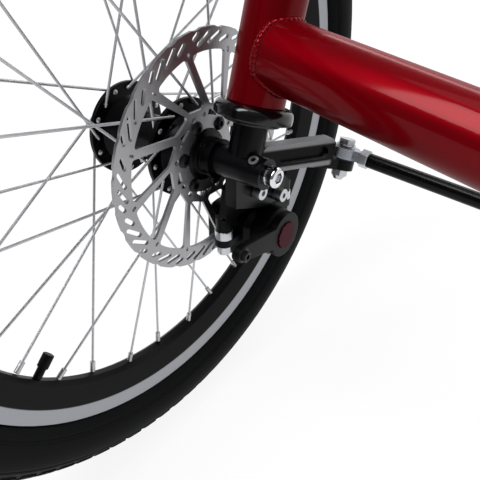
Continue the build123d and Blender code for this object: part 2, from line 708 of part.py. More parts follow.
def rotor_edge():
    """Outer outline: an edge with a shallow round notch at every notch pitch."""
    points = []
    for notch in range(round(360 / ROTOR_NOTCH_PITCH_DEG)):
        middle = ROTOR_PHASE_DEG + ROTOR_NOTCH_LEAD_DEG + notch * ROTOR_NOTCH_PITCH_DEG
        for share, depth in ((-0.5, 0.0), (-0.25, 0.75), (0.0, 1.0), (0.25, 0.75), (0.5, 0.0)):
            points.append(polar(ROTOR_R - depth * ROTOR_NOTCH, middle + share * ROTOR_NOTCH_DEG))
        plain = ROTOR_NOTCH_PITCH_DEG - ROTOR_NOTCH_DEG
        points.append(polar(ROTOR_R, middle + ROTOR_NOTCH_DEG / 2 + plain / 2))
    return points


def rotor():
    holes = [round_points(Vector(0, 0, 0), ROTOR_BORE_R, 48)]
    for lobe in range(ROTOR_LOBES):
        turn = ROTOR_PHASE_DEG + lobe * 360 / ROTOR_LOBES
        holes += [[point.rotate(Axis.Z, turn) for point in gap] for gap in rotor_gaps()]
    wires = [Polyline(*points, close=True).wire() for points in holes]
    face = Face(Polyline(*rotor_edge(), close=True).wire(), wires)
    return WHEEL * Pos(0, 0, ROTOR_PLACE - ROTOR_WIDTH / 2) * extrude(face, ROTOR_WIDTH, (0, 0, 1))


rim_bed = RIM_EDGE_R - RIM_DEPTH
rim_well = RIM_EDGE_R - RIM_WELL_DEPTH
spoke_pitch = 360 / SPOKES
inner_step = FLANGE_WIDTH / 2 + SPOKE_R + 0.25
outer_step = inner_step + SPOKE_LAY


def spoke_line(index):
    """Ends of a spoke: its elbow beside the flange and its seat in the rim."""
    near = index % 2 == 0
    lead = 1 if (index // 2) % 2 == 0 else -1
    rim_angle = SPOKE_PHASE_DEG + index * spoke_pitch
    flange = FLANGE_IN if near else FLANGE_OUT
    outwards = -1 if near else 1
    step = outer_step if lead > 0 else -inner_step
    hole = FLANGE_R - SPOKE_HOLE_INSET
    elbow = polar(hole, rim_angle + lead * SPOKE_LEAD_DEG, flange + outwards * step)
    seat = polar(rim_bed - 0.7, rim_angle, outwards * NIPPLE_SPLAY)
    return elbow, seat


def spokes():
    bars = []
    for index in range(SPOKES):
        elbow, seat = spoke_line(index)
        along = (seat - elbow).normalized()
        end = seat - along * (NIPPLE_LENGTH + JOIN_GAP)
        bars.append(WHEEL * strut(elbow - along * 2 * SPOKE_R, end, SPOKE_R))
    return Compound(children=bars)


def nipples():
    sleeves = []
    for index in range(SPOKES):
        elbow, seat = spoke_line(index)
        along = (seat - elbow).normalized()
        sleeves.append(WHEEL * strut(seat - along * NIPPLE_LENGTH, seat, NIPPLE_R))
    return Compound(children=sleeves)


def ring_solid(side):
    """Solid ring from one side's (radius, across) points and their mirror image."""
    return turned([*side, *[(radius, -half) for radius, half in reversed(side)]])


def rim():
    return WHEEL * ring_solid([
        (rim_bed, RIM_RIDGE), (rim_bed + RIM_RIDGE, 2 * RIM_RIDGE + 1),
        (RIM_EDGE_R - TRACK_HEIGHT, TRACK_HALF), (RIM_EDGE_R, RIM_HALF),
        (RIM_EDGE_R, RIM_HALF - RIM_WALL), (rim_well, TRACK_HALF - RIM_WALL)])


tyre_seat = RIM_EDGE_R + MOVE_GAP
tyre_shoulder = RIM_HALF + TYRE_LIP
tyre_mid = tyre_seat + 1 + math.sqrt(TYRE_HALF ** 2 - tyre_shoulder ** 2)


def tyre_arc(radius, low, flats):
    """Half of a casing circle, from a wheel radius up to its crown."""
    start = math.acos((low - tyre_mid) / radius)
    turns = [start * (1 - step / flats) for step in range(flats + 1)]
    return [(tyre_mid + radius * math.cos(turn), radius * math.sin(turn)) for turn in turns]


def tyre():
    top = RIM_HALF - RIM_WALL - BEAD_GAP
    toe_half = TRACK_HALF - RIM_WALL - BEAD_GAP
    toe = rim_well + 2
    skin = [(toe, toe_half), (tyre_seat, top), *tyre_arc(TYRE_HALF, tyre_seat + 1, 7)]
    liner = [(toe - 1, toe_half - TYRE_WALL), (tyre_seat + 2, top - TYRE_WALL),
             *tyre_arc(TYRE_HALF - TYRE_WALL, tyre_seat + 3, 3)]
    return WHEEL * (ring_solid(skin[:-1] + [(tyre_mid + TYRE_HALF, 0.01)])
                    - ring_solid(liner[:-1] + [(tyre_mid + TYRE_HALF - TYRE_WALL, 0.01)]))


def valve():
    angle = SPOKE_PHASE_DEG - 5.5 * spoke_pitch
    end = polar(rim_bed - VALVE_LENGTH, angle)
    stem = strut(polar(rim_bed - 0.2, angle), end, VALVE_R - 1, 16)
    cap = strut(polar(rim_bed - VALVE_LENGTH + VALVE_CAP, angle), end, VALVE_R, 16)
    return WHEEL * (stem + cap)


PIECES = {
    "cross_boom": cross_boom(),
    "head_tube": head_tube(),
    "upper_cup": upper_cup(),
    "lower_cup": lower_cup(),
    "kingpin": kingpin(),
    "crown_race": crown_race(),
    "bearing_cover": bearing_cover(),
    "clamp_collar": clamp_collar(),
    "top_cap": top_cap(),
    "knuckle": knuckle(),
    "axle": axle(),
    "steering_arm": steering_arm(),
    "arm_bolt": arm_bolt(),
    "outer_ball": EYE * rod_end_ball(),
    "caliper_bracket": caliper_bracket(),
    "bracket_bolts": bracket_bolts(),
    "caliper_body": caliper_body(),
    "caliper_bolts": caliper_bolts(),
    "caliper_washers": caliper_washers(),
    "brake_pads": brake_pads(),
    "pad_knob": pad_knob(),
    "caliper_lever": caliper_lever(),
    "hub_shell": hub_shell(),
    "hub_cap": hub_cap(),
    "rotor": rotor(),
    "spokes": spokes(),
    "nipples": nipples(),
    "rim": rim(),
    "tyre": tyre(),
    "valve": valve(),
    "tie_rod": tie_rod(),
    "jam_nuts": jam_nuts(),
    "outer_rod_end": rod_end(TIE_OUTER, EYE),
    "inner_rod_end": rod_end(TIE_INNER, TIE_INNER),
    "inner_ball": TIE_INNER * rod_end_ball(),
}

os.makedirs("parts", exist_ok=True)
for node, piece in PIECES.items():
    export_step(piece, f"parts/{node}.step")

print("kingpin foot", king_foot)
print("kingpin axis", kingpin_axis)
print("wheel centre", wheel_centre)
print("outer eye", EYE.position)
print("inner eye", TIE_INNER.position)
print("inner eye axis", Plane(TIE_INNER).z_dir)
print("boom axis", boom_axis)
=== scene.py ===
"""Looks of a recumbent trike's front wheel corner, laid out as an add-on and run as a script."""

import json
import math

import bpy
from bpy.props import FloatProperty, FloatVectorProperty, IntProperty, PointerProperty
from mathutils import Matrix, Vector


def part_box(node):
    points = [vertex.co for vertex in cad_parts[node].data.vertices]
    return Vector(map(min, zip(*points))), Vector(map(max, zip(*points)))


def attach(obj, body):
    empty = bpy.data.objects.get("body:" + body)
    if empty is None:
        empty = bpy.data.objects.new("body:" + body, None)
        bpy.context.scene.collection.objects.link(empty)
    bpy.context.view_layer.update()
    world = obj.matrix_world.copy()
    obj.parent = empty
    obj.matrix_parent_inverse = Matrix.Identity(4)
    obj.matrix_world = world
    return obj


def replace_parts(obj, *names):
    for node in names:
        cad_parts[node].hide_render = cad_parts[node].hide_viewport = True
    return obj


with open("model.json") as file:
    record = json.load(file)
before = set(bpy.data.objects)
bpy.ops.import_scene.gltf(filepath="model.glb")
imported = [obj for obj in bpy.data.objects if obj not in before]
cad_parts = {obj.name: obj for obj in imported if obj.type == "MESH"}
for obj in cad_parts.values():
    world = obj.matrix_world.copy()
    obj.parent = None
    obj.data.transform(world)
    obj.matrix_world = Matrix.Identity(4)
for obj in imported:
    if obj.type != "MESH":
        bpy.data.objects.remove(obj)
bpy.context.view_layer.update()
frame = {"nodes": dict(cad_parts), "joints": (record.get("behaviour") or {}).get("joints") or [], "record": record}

bl_info = {
    "name": "Trike wheel corner",
    "version": (1, 0, 0),
    "blender": (4, 5, 0),
    "location": "View3D > Sidebar > Trike corner",
    "description": "Dresses a trike's front wheel corner with finishes, tread, weld, fasteners and a stage",
    "category": "Object",
}

MM = 0.001


# Places and directions from the frame, in metres
def named(rows, name):
    """The row of a list in the frame that has a name."""
    return next(row for row in rows if row["name"] == name)


def across(vector, axis):
    """Direction of that part of a vector which is square to an axis."""
    return (vector - axis * vector.dot(axis)).normalized()


def box_size(node):
    """Size of a CAD node's box."""
    low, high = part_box(node)
    return high - low


STEER = named(frame["joints"], "steer")
KINGPIN_FOOT = Vector(STEER["pos_m"])
KINGPIN_AXIS = Vector(STEER["axis"]).normalized()
KINGPIN_SIDE = across(Vector((1, 0, 0)), KINGPIN_AXIS)
KINGPIN_BACK = KINGPIN_AXIS.cross(KINGPIN_SIDE)
WHEEL_CENTRE = Vector(named(frame["joints"], "wheel_spin")["pos_m"])
EYE_CENTRE = Vector(named(frame["joints"], "tie_rod_swivel")["pos_m"])
ARM_WAY = across(EYE_CENTRE - KINGPIN_FOOT, KINGPIN_AXIS)
BOOM_AXIS = -Vector(named(frame["record"]["mounts"], "boom_socket")["axis"]).normalized()
INBOARD = Vector((-1, 0, 0))
DOWN = Vector((0, 0, -1))
TYRE_RADIUS = box_size("tyre").z / 2
TYRE_HALF = box_size("tyre").x / 2
TYRE_CORE = TYRE_RADIUS - TYRE_HALF
RIM_RADIUS = box_size("rim").z / 2
FLOOR_GAP = 1.5 * MM
FLOOR_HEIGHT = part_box("tyre")[0].z - FLOOR_GAP

# Places on the CAD pieces, in metres; places along the axle run outboard from the wheel's centre plane
BOOM_LENGTH = 280 * MM
BOOM_RADIUS = 21.2 * MM
BOOM_END_SHORT = 9 * MM
HEAD_RADIUS = 18.2 * MM
RIM_TRACK = 10.2 * MM
TYRE_SEAT = 1.4 * MM
TYRE_LIP = 1 * MM
TYRE_BEAD_HALF = 11.2 * MM
TYRE_TOE_HALF = 8.6 * MM
TYRE_TOE = 10 * MM
FLANGES = (-25.7 * MM, 29.6 * MM)
FLANGE_HALF = 1.7 * MM
SPOKES = 32
SPOKE_PHASE = 16.5
SPOKE_LEAD = 45.0
SPOKE_HOLE_RADIUS = 30 * MM
SPOKE_STEPS = (4.25 * MM, 2.95 * MM)
ROTOR_FACE = -45.2 * MM
ROTOR_PHASE = 68.0
ROTOR_BOLTS = 6
ROTOR_BOLT_RADIUS = 22 * MM
KNUCKLE_SCREW_ALONG = -87 * MM
KNUCKLE_SCREW_OUT = 10.8 * MM
KNUCKLE_SCREW_LEAN = math.radians(28)
COLLAR_SCREW_SIDE = -21.5 * MM
COLLAR_SCREW_BACK = 7 * MM
COLLAR_HEIGHT = 135.2 * MM
CAP_HEIGHT = 149.3 * MM
# The steering arm's underside starts at a foot beside the kingpin and rises towards the eye
ARM_START = 10 * MM
ARM_FOOT = -5.2 * MM
ARM_RISE = math.radians(11.7)
ARM_HEIGHT = 18.2 * MM
ARM_END = 64.5 * MM
# The caliper's centre from the axle, and places forwards and up from it
CALIPER_SPOT = (-39.98 * MM, -62.03 * MM)
LEVER_PIVOT = (3.6 * MM, -2.8 * MM)
LEVER_REACH = 53 * MM
LEVER_RISE = math.radians(11.5)
LEVER_FACE = -87.7 * MM
CALIPER_BOLTS = ((-37 * MM, -12.6 * MM), (37 * MM, -12.6 * MM))
CALIPER_BOLT_ALONG = -57 * MM
BRACKET_BOLTS = ((23 * MM, 37 * MM), (-3 * MM, 24 * MM))
BRACKET_BOLT_FACE = -80.2 * MM


def linear(hex_colour):
    """Linear colour of an sRGB hex value such as #8A0410."""
    parts = [int(hex_colour[i:i + 2], 16) / 255 for i in (1, 3, 5)]
    return [c / 12.92 if c <= 0.04045 else ((c + 0.055) / 1.055) ** 2.4 for c in parts]


def colour(name, description, default):
    """Colour property with its default as sRGB hex."""
    return FloatVectorProperty(
        name=name, description=description, subtype="COLOR", size=3, min=0, max=1, default=linear(default))


def distance(name, description, millimetres):
    """Length property with its default in millimetres."""
    return FloatProperty(name=name, description=description, subtype="DISTANCE", default=millimetres * MM)


class CornerColours(bpy.types.PropertyGroup):
    """Colours of the finishes"""
    candy: colour("Candy red", "Boom, head tube and weld", "#7C000C")
    enamel: colour("Gloss black", "Headset cups, crown race and bearing cover", "#060608")
    anodised: colour("Anodised black", "Hub, rim bed, collar and top cap", "#0A0A0D")
    powder: colour("Powder black", "Knuckle, tie rod and the steering arm's pocket", "#0A0A0D")
    # Painted highlight: the grey laid on the steering arm's upward faces and side edges, where light falls on them
    arm: colour("Arm highlight grey", "Upper faces and rims of the steering arm", "#A8A9AC")
    cast: colour("Cast black", "Caliper, its bracket and lever", "#0B0B0D")
    track: colour("Machined aluminium", "Brake track on the rim's side", "#9FA0A5")
    ground: colour("Ground stainless", "Rotor", "#A6A6A9")
    wire: colour("Drawn wire", "Spokes and nipples", "#C4C5C8")
    zinc: colour("Zinc plate", "Nuts, bolts, washers, balls and kingpin", "#C2C4C8")
    oxide: colour("Black oxide", "Screws of the rotor, collar, cap and lever, and sockets", "#1A1A1C")
    chrome: colour("Chrome", "Axle bolt", "#DCDDE0")
    forging: colour("Forged alloy", "Rod ends", "#A9ADB6")
    rubber: colour("Rubber", "Tyre", "#0D0E10")
    moulded: colour("Moulded black", "Hub cap and valve", "#0E0E10")
    knob: colour("Pad knob", "Pad adjuster", "#742438")
    pad: colour("Pad", "Brake pad lining", "#3A342E")
    floor: colour("Floor", "Pale studio floor", "#6C6C6C")


class CornerSizes(bpy.types.PropertyGroup):
    """Sizes and places that a user would change"""
    edge_round: distance("Edge rounding", "Broken edge on machined pieces", 0.5)
    tread_depth: distance("Tread depth", "Height of the tread blocks", 1.1)
    tread_pitches: IntProperty(
        name="Tread pitches", description="Blocks in one row round the tyre", default=88)
    bead_radius: distance("Weld bead", "Radius of the weld bead", 2.6)
    bead_ripples: IntProperty(name="Weld ripples", description="Ripples round the weld", default=44)
    camera_place: FloatVectorProperty(
        name="Camera place", description="Where the picture is taken from", subtype="XYZ", size=3,
        default=(0.08465, 0.24215, 0.12021))
    camera_heading: FloatProperty(
        name="Camera heading", description="Turn of the view from +X towards -Y", subtype="ANGLE",
        default=math.radians(52.96))
    camera_tilt: FloatProperty(
        name="Camera tilt", description="How far the view looks down", subtype="ANGLE",
        default=math.radians(33.48))
    camera_roll: FloatProperty(
        name="Camera roll", description="Lean of the view", subtype="ANGLE", default=math.radians(0.44))
    camera_lens: FloatProperty(
        name="Camera lens", description="Focal length on a 36 mm sensor", unit="CAMERA", default=41.735)


# Nodes and patterns
def add(tree, kind, inputs=None, **settings):
    """Add a node with its settings, and set or link its inputs."""
    made = tree.nodes.new(kind)
    for key, value in settings.items():
        setattr(made, key, value)
    for socket, value in (inputs or {}).items():
        if isinstance(value, bpy.types.NodeSocket):
            tree.links.new(value, made.inputs[socket])
        else:
            made.inputs[socket].default_value = value
    return made


def rgba(tint):
    """A tint with full cover."""
    return (*tint, 1.0)


def shade(tint, factor):
    """A tint made darker or lighter."""
    return [min(1.0, c * factor) for c in tint]


def blank(name, **sockets):
    """Node material with its shader's constant sockets set; returns material, tree and shader."""
    material = bpy.data.materials.new(name)
    material.use_nodes = True
    tree = material.node_tree
    shader = tree.nodes["Principled BSDF"]
    for socket, value in sockets.items():
        shader.inputs[socket.replace("_", " ")].default_value = value
    return material, tree, shader


def grain(tree, size, detail=3.0):
    """Random pattern from 0 to 1 whose patches have a size in millimetres."""
    place = add(tree, "ShaderNodeTexCoord")
    noise = add(tree, "ShaderNodeTexNoise", {
        "Vector": place.outputs["Object"], "Scale": 1 / (size * MM), "Detail": detail})
    return noise.outputs["Fac"]


def press(tree, shader, height, depth):
    """Bump from a height pattern, its depth in millimetres."""
    bump = add(tree, "ShaderNodeBump", {"Height": height, "Distance": depth * MM, "Strength": 1.0})
    tree.links.new(bump.outputs["Normal"], shader.inputs["Normal"])


def blend_values(tree, shader, socket, factor, low, high):
    """Let a shader socket run between two values, or two tints, by a factor from 0 to 1."""
    if isinstance(low, (int, float)):
        ramp = add(tree, "ShaderNodeMapRange", {"Value": factor, "To Min": low, "To Max": high})
        tree.links.new(ramp.outputs["Result"], shader.inputs[socket])
    else:
        mix = add(tree, "ShaderNodeMix", data_type="RGBA")
        for name, value in (("Factor_Float", factor), ("A_Color", rgba(low)), ("B_Color", rgba(high))):
            target = next(i for i in mix.inputs if i.identifier == name)
            if isinstance(value, bpy.types.NodeSocket):
                tree.links.new(value, target)
            else:
                target.default_value = value
        result = next(o for o in mix.outputs if o.identifier == "Result_Color")
        tree.links.new(result, shader.inputs[socket])


def fade(tree, value, start, end):
    """0 before a start and 1 past an end, counted upwards or, where the end is lower, downwards."""
    if start < end:
        limits = {"From Min": start, "From Max": end}
    else:
        limits = {"From Min": end, "From Max": start, "To Min": 1.0, "To Max": 0.0}
    return add(tree, "ShaderNodeMapRange", {"Value": value, **limits}).outputs["Result"]


def from_point(tree, point):
    """Offset of a surface from a point at rest, in metres."""
    place = add(tree, "ShaderNodeTexCoord").outputs["Object"]
    return add(tree, "ShaderNodeVectorMath", {0: place, 1: point}, operation="SUBTRACT").outputs[0]


def from_axle(tree):
    """Distance of a wheel point from the axle, in metres."""
    offset = from_point(tree, WHEEL_CENTRE)
    flat = add(tree, "ShaderNodeVectorMath", {0: offset, 1: (0, 1, 1)}, operation="MULTIPLY")
    return add(tree, "ShaderNodeVectorMath", {0: flat.outputs[0]}, operation="LENGTH").outputs["Value"]


def distance_along(tree, point, way):
    """Distance from a point along a way, in metres."""
    offset = from_point(tree, point)
    return add(tree, "ShaderNodeVectorMath", {0: offset, 1: way}, operation="DOT_PRODUCT").outputs["Value"]


def rings(tree, radius, pitch):
    """Turned rings at a pitch in millimetres, from 0 to 1."""
    turns = add(tree, "ShaderNodeMath", {0: radius, 1: math.tau / (pitch * MM)}, operation="MULTIPLY")
    wave = add(tree, "ShaderNodeMath", {0: turns.outputs[0]}, operation="SINE")
    return add(tree, "ShaderNodeMapRange", {"Value": wave.outputs[0], "From Min": -1.0}).outputs["Result"]


# Finishes; sizes and depths of their grain are in millimetres. The grain of castings, mouldings, rubber,
# forgings and pads is finer on the real pieces, and is drawn as coarse as it needs to show
def plain_finish(name, tint, size, depth, rough, vary=0.85, **sockets):
    """Finish with one tint that drifts a little, a fine grain and an uneven roughness."""
    material, tree, shader = blank(name, **sockets)
    pattern = grain(tree, size)
    press(tree, shader, pattern, depth)
    blend_values(tree, shader, "Base Color", pattern, shade(tint, vary), shade(tint, 2 - vary))
    blend_values(tree, shader, "Roughness", pattern, rough[0], rough[1])
    return material


# Turning and grinding marks are finer on real metal, and are drawn as coarse as they need to show
TURNING_PITCH = 0.45
TURNING_DEPTH = 0.01
GRINDING_PITCH = 0.6
GRINDING_DEPTH = 0.008
SHEET_CLOUDS = 5
FORGING_GRAIN = 1.2
FORGING_DEPTH = 0.02
TRACK_BLUR = 0.4 * MM
# How far up a face of the arm looks where the painted highlight on its top begins and is whole
ARM_HIGHLIGHT_TILT = (0.45, 0.75)
# Painted highlight along the arm's sides, where it begins and is whole, from its upper and lower edges
ARM_UPPER_HIGHLIGHT = (4.2 * MM, 2.6 * MM)
ARM_LOWER_HIGHLIGHT = (3.6 * MM, 2.4 * MM)
ARM_UNDERSIDE_BLUR = 1 * MM
ARM_END_BLUR = 2 * MM


def rim_finish(name, tints):
    """Black anodised rim whose outer wall is turned bright as a brake track."""
    material, tree, shader = blank(name, Specular_IOR_Level=0.12)
    radius = from_axle(tree)
    edge = RIM_RADIUS - RIM_TRACK
    track = fade(tree, radius, edge - TRACK_BLUR, edge + TRACK_BLUR)
    press(tree, shader, rings(tree, radius, TURNING_PITCH), TURNING_DEPTH)
    blend_values(tree, shader, "Base Color", track, tints.anodised, tints.track)
    blend_values(tree, shader, "Metallic", track, 0.0, 1.0)
    blend_values(tree, shader, "Roughness", track, 0.4, 0.46)
    return material


def arm_finish(name, tints):
    """Black forging with a painted highlight on its upward faces and along the upper and lower edges of its sides,
    with a black pocket between.
    """
    material, tree, shader = blank(name, Specular_IOR_Level=0.14)
    normal = add(tree, "ShaderNodeTexCoord").outputs["Normal"]
    tilt = add(tree, "ShaderNodeSeparateXYZ", {0: normal}).outputs["Z"]
    top = fade(tree, tilt, *ARM_HIGHLIGHT_TILT)
    foot = KINGPIN_FOOT + ARM_WAY * ARM_START + KINGPIN_AXIS * ARM_FOOT
    height = distance_along(tree, foot, KINGPIN_AXIS - ARM_WAY * math.tan(ARM_RISE))
    upper = fade(tree, height, *(ARM_HEIGHT - inset for inset in ARM_UPPER_HIGHLIGHT))
    below_pocket = fade(tree, height, *ARM_LOWER_HIGHLIGHT)
    above_edge = fade(tree, height, -ARM_UNDERSIDE_BLUR, 0)
    lower = add(tree, "ShaderNodeMath", {0: below_pocket, 1: above_edge}, operation="MULTIPLY").outputs[0]
    both = add(tree, "ShaderNodeMath", {0: upper, 1: lower}, operation="MAXIMUM").outputs[0]
    before_end = fade(tree, distance_along(tree, KINGPIN_FOOT, ARM_WAY), ARM_END, ARM_END - ARM_END_BLUR)
    rims = add(tree, "ShaderNodeMath", {0: both, 1: before_end}, operation="MULTIPLY").outputs[0]
    # The ground mask is a painted highlight: upward faces and side edges turn grey and somewhat metallic, and the
    # rest stays black
    ground = add(tree, "ShaderNodeMath", {0: top, 1: rims}, operation="MAXIMUM").outputs[0]
    press(tree, shader, grain(tree, FORGING_GRAIN), FORGING_DEPTH)
    blend_values(tree, shader, "Base Color", ground, tints.powder, tints.arm)
    blend_values(tree, shader, "Metallic", ground, 0.0, 0.5)
    blend_values(tree, shader, "Roughness", ground, 0.3, 0.42)
    return material


def rotor_finish(name, tints):
    """Stainless sheet with the fine circular grain of grinding."""
    material, tree, shader = blank(name, Metallic=1.0)
    press(tree, shader, rings(tree, from_axle(tree), GRINDING_PITCH), GRINDING_DEPTH)
    pattern = grain(tree, SHEET_CLOUDS)
    blend_values(tree, shader, "Base Color", pattern, shade(tints.ground, 0.9), shade(tints.ground, 1.08))
    blend_values(tree, shader, "Roughness", pattern, 0.34, 0.44)
    return material


def make_materials(tints):
    """Every finish of the corner, by its use."""
    return {
        # Candy coat, sprayed over a bright base: a deep red that glows, and a soft wet reflection
        "candy": plain_finish(
            "candy_red_sprayed_steel_tube", tints.candy, size=40, depth=0.02, rough=(0.36, 0.42), vary=0.95,
            Metallic=0.42, Specular_IOR_Level=0.0, Coat_Weight=0.2, Coat_Roughness=0.09),
        # Gloss enamel, dipped and baked: nearly black with sharp bright reflections
        "enamel": plain_finish(
            "gloss_black_baked_enamel", tints.enamel, size=6, depth=0.01, rough=(0.12, 0.18),
            Specular_IOR_Level=0.45),
        # Black anodised aluminium, turned: dark satin with a soft sheen
        "anodised": plain_finish(
            "black_anodised_turned_aluminium", tints.anodised, size=1.2, depth=0.01, rough=(0.24, 0.32),
            Specular_IOR_Level=0.12),
        # The same with a bright brake track: black bed, grey ring beside the tyre
        "rim": rim_finish("black_anodised_rim_turned_track", tints),
        # Powder coat, sprayed dry and baked: satin with a slight orange peel
        "powder": plain_finish(
            "black_powder_coated_steel", tints.powder, size=2.2, depth=0.03, rough=(0.2, 0.3),
            Specular_IOR_Level=0.14),
        # Black forging with painted highlights: grey top and edges round a dark pocket
        "arm": arm_finish("black_forging_painted_highlight", tints),
        # Cast aluminium, painted black: dull with the sand's fine grain
        "cast": plain_finish(
            "black_painted_cast_aluminium", tints.cast, size=0.9, depth=0.05, rough=(0.34, 0.46),
            Specular_IOR_Level=0.1),
        # Ground stainless sheet: even grey sheen in fine circles
        "ground": rotor_finish("ground_stainless_sheet", tints),
        # Drawn stainless wire: smooth pale grey with a blurred shine
        "wire": plain_finish(
            "drawn_stainless_wire", tints.wire, size=3, depth=0.002, rough=(0.42, 0.5), Metallic=1.0),
        # Zinc plate on steel: bright, a little cloudy
        "zinc": plain_finish(
            "bright_zinc_plated_steel", tints.zinc, size=1.5, depth=0.01, rough=(0.24, 0.38), Metallic=1.0),
        # Black oxide on steel: dark grey, faintly oily
        "oxide": plain_finish(
            "black_oxide_steel_screw", tints.oxide, size=1.2, depth=0.01, rough=(0.36, 0.46), Metallic=0.6),
        # Chrome plate, polished: a mirror
        "chrome": plain_finish(
            "polished_chrome_plated_steel", tints.chrome, size=4, depth=0.004, rough=(0.06, 0.1),
            Metallic=1.0),
        # Forged aluminium, tumbled: pale grey satin
        "forging": plain_finish(
            "tumbled_forged_aluminium", tints.forging, size=0.8, depth=0.03, rough=(0.36, 0.48),
            Metallic=0.85),
        # Moulded rubber: dull black, a little dusty
        "rubber": plain_finish(
            "moulded_tyre_rubber", tints.rubber, size=0.7, depth=0.05, rough=(0.55, 0.7),
            Specular_IOR_Level=0.1),
        # Moulded nylon: black with a fine spark finish
        "moulded": plain_finish(
            "moulded_black_nylon", tints.moulded, size=0.5, depth=0.02, rough=(0.42, 0.52),
            Specular_IOR_Level=0.12),
        # Moulded nylon, dyed: a dull dark red
        "knob": plain_finish(
            "moulded_dark_red_nylon", tints.knob, size=0.5, depth=0.02, rough=(0.4, 0.5),
            Specular_IOR_Level=0.06),
        # Sintered pad: coarse brown grains
        "pad": plain_finish(
            "sintered_brake_pad", tints.pad, size=0.6, depth=0.08, rough=(0.7, 0.9), vary=0.7),
    }


# CAD nodes that take each finish
FINISHES = {
    "candy": ("cross_boom", "head_tube"),
    "enamel": ("upper_cup", "lower_cup", "crown_race", "bearing_cover"),
    "anodised": ("hub_shell", "clamp_collar", "top_cap"),
    "rim": ("rim",),
    "powder": ("knuckle", "tie_rod"),
    "arm": ("steering_arm",),
    "cast": ("caliper_body", "caliper_bracket", "caliper_lever"),
    "ground": ("rotor",),
    "wire": ("spokes", "nipples"),
    "zinc": ("arm_bolt", "outer_ball", "inner_ball", "bracket_bolts", "caliper_bolts", "caliper_washers",
             "jam_nuts", "kingpin"),
    "chrome": ("axle",),
    "forging": ("outer_rod_end", "inner_rod_end"),
    "rubber": ("tyre",),
    "moulded": ("valve", "hub_cap"),
    "knob": ("pad_knob",),
    "pad": ("brake_pads",),
}
MADE = {}


def finish(use):
    """Material made for a use by the finishes operator."""
    if use not in MADE:
        raise RuntimeError("Run Finishes before the pieces that take a finish")
    return MADE[use]


class CORNER_OT_finishes(bpy.types.Operator):
    """Give every CAD piece its finish and break its sharp edges"""
    bl_idname = "corner.finishes"
    bl_label = "Finishes"

    def execute(self, context):
        MADE.update(make_materials(context.scene.corner_colours))
        round_by = context.scene.corner_sizes.edge_round
        for use, nodes in FINISHES.items():
            for node in nodes:
                piece = frame["nodes"][node]
                piece.data.materials.clear()
                piece.data.materials.append(finish(use))
                break_edges(piece, round_by)
        return {"FINISHED"}


# Points this close are joined, faces within the flat angle are merged, and edges past the sharp one rounded
SAME_POINT = 0.002 * MM
FLAT_ANGLE = math.radians(0.5)
SHARP_ANGLE = math.radians(32)
ROUND_STEPS = 2
# Edges of new pieces that turn more than this stay crisp
CRISP_ANGLE = math.radians(38)


def break_edges(piece, width):
    """Round a piece's sharp edges without touching its own mesh."""
    weld = piece.modifiers.new("weld", "WELD")
    weld.merge_threshold = SAME_POINT
    flat = piece.modifiers.new("flat", "DECIMATE")
    flat.decimate_type = "DISSOLVE"
    flat.angle_limit = FLAT_ANGLE
    bevel = piece.modifiers.new("broken_edge", "BEVEL")
    bevel.width = width
    bevel.segments = ROUND_STEPS
    bevel.limit_method = "ANGLE"
    bevel.angle_limit = SHARP_ANGLE
    normals = piece.modifiers.new("normals", "WEIGHTED_NORMAL")
    normals.keep_sharp = False


# Mesh building
def circle(middle, one, two, radius, count):
    """Points of a circle in the plane of two square directions."""
    turns = [math.tau * k / count for k in range(count)]
    return [middle + (one * math.cos(turn) + two * math.sin(turn)) * radius for turn in turns]


class Skin:
    """Points and faces of a piece while it is put together"""

    def __init__(self):
        self.points = []
        self.faces = []

    def rows(self, rows, round_all=False):
        """Skin equal rows of points, each closed on itself; the last row may close on the first."""
        start = len(self.points)
        width = len(rows[0])
        for row in rows:
            self.points += row
        for i in range(len(rows) if round_all else len(rows) - 1):
            here = start + i * width
            ahead = start + (i + 1) % len(rows) * width
            for k in range(width):
                n = (k + 1) % width
                self.faces.append([here + k, here + n, ahead + n, ahead + k])
        return start, width

    def turned(self, place, axis, profile, sides):
        """Turned shape on an axis from (radius, height) pairs, closed at both ends."""
        one = axis.orthogonal().normalized()
        two = axis.cross(one)
        rows = [circle(place + axis * height, one, two, radius, sides) for radius, height in profile]
        start, width = self.rows(rows)
        self.faces.append(list(range(start, start + width))[::-1])
        last = start + (len(rows) - 1) * width
        self.faces.append(list(range(last, last + width)))

    def piece(self, name, body, slot, use):
        """Make the piece, with its finish, riding on a body."""
        mesh = bpy.data.meshes.new(name)
        mesh.from_pydata(self.points, [], self.faces)
        mesh.validate()
        mesh.shade_smooth()
        mesh.set_sharp_from_angle(angle=CRISP_ANGLE)
        mesh.materials.append(finish(use))
        made = bpy.data.objects.new(name, mesh)
        bpy.context.scene.collection.objects.link(made)
        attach(made, body)
        return made


def wheel_point(along, radius, degrees):
    """Point of the wheel: outboard from its centre plane, out from the axle, turned from forwards to up."""
    turn = math.radians(degrees)
    return WHEEL_CENTRE + Vector((along, radius * math.cos(turn), radius * math.sin(turn)))


# Tread rows: lean of the middle from the crown and half width, in degrees; half length and start as shares
# of a pitch; skew along the row as a share of a pitch
TREAD_ROWS = (
    (8.5, 6.8, 0.45, 0.0, 0.14),
    (27.0, 9.5, 0.43, 0.5, -0.10),
    (46.5, 8.0, 0.38, 0.0, 0.0),
)
TREAD_DRAFT = 0.86
TREAD_ROOT = 0.4 * MM
CASING_STEPS = 180
SECTION_STEPS = 120
# Where the casing comes up to full height beside the tread, in degrees from the crown
SHOULDER_LEAN = 60.0
SHOULDER_SPREAD = 8.0
# Moulded lines round the sidewall, by their lean from the crown in degrees
SIDE_LINES = (74.0, 118.0, 124.0)
SIDE_LINE_HALF = 1.3
SIDE_LINE_DEPTH = 0.5 * MM


